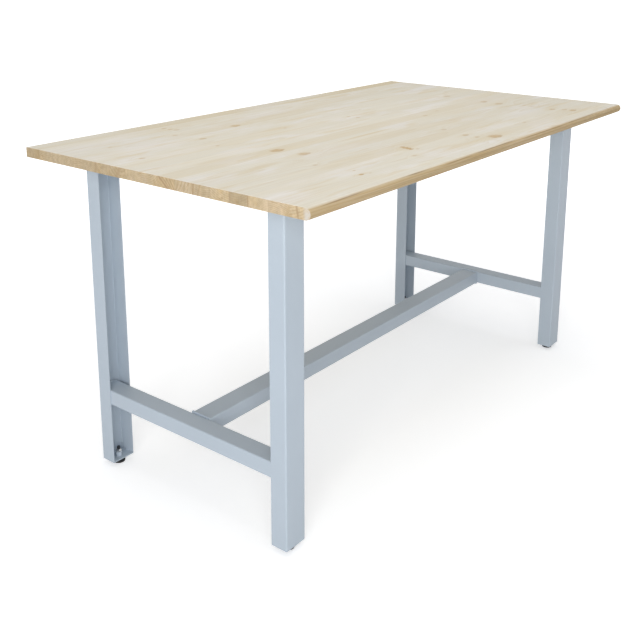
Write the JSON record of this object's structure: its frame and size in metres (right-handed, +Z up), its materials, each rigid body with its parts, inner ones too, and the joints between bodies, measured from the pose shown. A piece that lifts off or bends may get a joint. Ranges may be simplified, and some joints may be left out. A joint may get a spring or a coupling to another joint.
{
  "type": "workbench",
  "caption": "Workbench with a thick glued softwood top on folded steel channel legs, joined by low crossbars and a centre stretcher, on levelling feet.",
  "frame": {"origin": "on the floor, under the centre of the worktop", "axes": "+X along the worktop to the right, +Y from the bullnosed front edge to the back, +Z up"},
  "size_m": [1.6, 0.9, 0.85],
  "materials": {
    "pine": "planed, unvarnished softwood",
    "powder_coat": "semi-gloss pale blue-grey powder coat",
    "zinc": "bright zinc plate",
    "black_steel": "black oxide",
    "black_plastic": "moulded black plastic"
  },
  "bodies": {
    "bench": {"stave_01": "pine", "stave_02": "pine", "stave_03": "pine", "stave_04": "pine", "stave_05": "pine", "stave_06": "pine", "stave_07": "pine", "stave_08": "pine", "stave_09": "pine", "stave_10": "pine", "stave_11": "pine", "stave_12": "pine", "stave_13": "pine", "stave_14": "pine", "stave_15": "pine", "stave_16": "pine", "stave_17": "pine", "leg_front_left": "powder_coat", "foot_plate_front_left": "powder_coat", "threaded_sleeve_front_left": "powder_coat", "lock_nut_front_left": "zinc", "leg_front_right": "powder_coat", "foot_plate_front_right": "powder_coat", "threaded_sleeve_front_right": "powder_coat", "lock_nut_front_right": "zinc", "leg_back_left": "powder_coat", "foot_plate_back_left": "powder_coat", "threaded_sleeve_back_left": "powder_coat", "lock_nut_back_left": "zinc", "leg_back_right": "powder_coat", "foot_plate_back_right": "powder_coat", "threaded_sleeve_back_right": "powder_coat", "lock_nut_back_right": "zinc", "crossbar_left": "powder_coat", "top_rail_left": "powder_coat", "end_plate_left": "powder_coat", "end_bolts_left": "zinc", "end_washers_left": "zinc", "rivet_nuts_left": "zinc", "top_screws_left": "zinc", "crossbar_right": "powder_coat", "top_rail_right": "powder_coat", "end_plate_right": "powder_coat", "end_bolts_right": "zinc", "end_washers_right": "zinc", "rivet_nuts_right": "zinc", "top_screws_right": "zinc", "centre_stretcher": "powder_coat"},
    "foot_front_left": {"foot_pad_front_left": "black_plastic"},
    "stud_front_left": {"levelling_stud_front_left": "black_steel"},
    "foot_front_right": {"foot_pad_front_right": "black_plastic"},
    "stud_front_right": {"levelling_stud_front_right": "black_steel"},
    "foot_back_left": {"foot_pad_back_left": "black_plastic"},
    "stud_back_left": {"levelling_stud_back_left": "black_steel"},
    "foot_back_right": {"foot_pad_back_right": "black_plastic"},
    "stud_back_right": {"levelling_stud_back_right": "black_steel"}
  },
  "joints": [
    {"name": "foot_height_front_left", "type": "slide", "parent": "bench", "child": "foot_front_left", "axis": [0, 0, -1], "range_m": [0, 0.01]},
    {"name": "stud_turn_front_left", "type": "hinge", "parent": "foot_front_left", "child": "stud_front_left", "pos_m": [-0.6925, -0.295, 0.013], "axis": [0, 0, -1], "range_deg": [0, 2880]},
    {"name": "foot_height_front_right", "type": "slide", "parent": "bench", "child": "foot_front_right", "axis": [0, 0, -1], "range_m": [0, 0.01]},
    {"name": "stud_turn_front_right", "type": "hinge", "parent": "foot_front_right", "child": "stud_front_right", "pos_m": [0.6925, -0.295, 0.013], "axis": [0, 0, -1], "range_deg": [0, 2880]},
    {"name": "foot_height_back_left", "type": "slide", "parent": "bench", "child": "foot_back_left", "axis": [0, 0, -1], "range_m": [0, 0.01]},
    {"name": "stud_turn_back_left", "type": "hinge", "parent": "foot_back_left", "child": "stud_back_left", "pos_m": [-0.6925, 0.295, 0.013], "axis": [0, 0, -1], "range_deg": [0, 2880]},
    {"name": "foot_height_back_right", "type": "slide", "parent": "bench", "child": "foot_back_right", "axis": [0, 0, -1], "range_m": [0, 0.01]},
    {"name": "stud_turn_back_right", "type": "hinge", "parent": "foot_back_right", "child": "stud_back_right", "pos_m": [0.6925, 0.295, 0.013], "axis": [0, 0, -1], "range_deg": [0, 2880]}
  ],
  "couplings": [
    {"joint": "stud_turn_front_left", "follows": "foot_height_front_left", "rad_per_m": 5026.5},
    {"joint": "stud_turn_front_right", "follows": "foot_height_front_right", "rad_per_m": 5026.5},
    {"joint": "stud_turn_back_left", "follows": "foot_height_back_left", "rad_per_m": 5026.5},
    {"joint": "stud_turn_back_right", "follows": "foot_height_back_right", "rad_per_m": 5026.5}
  ]
}
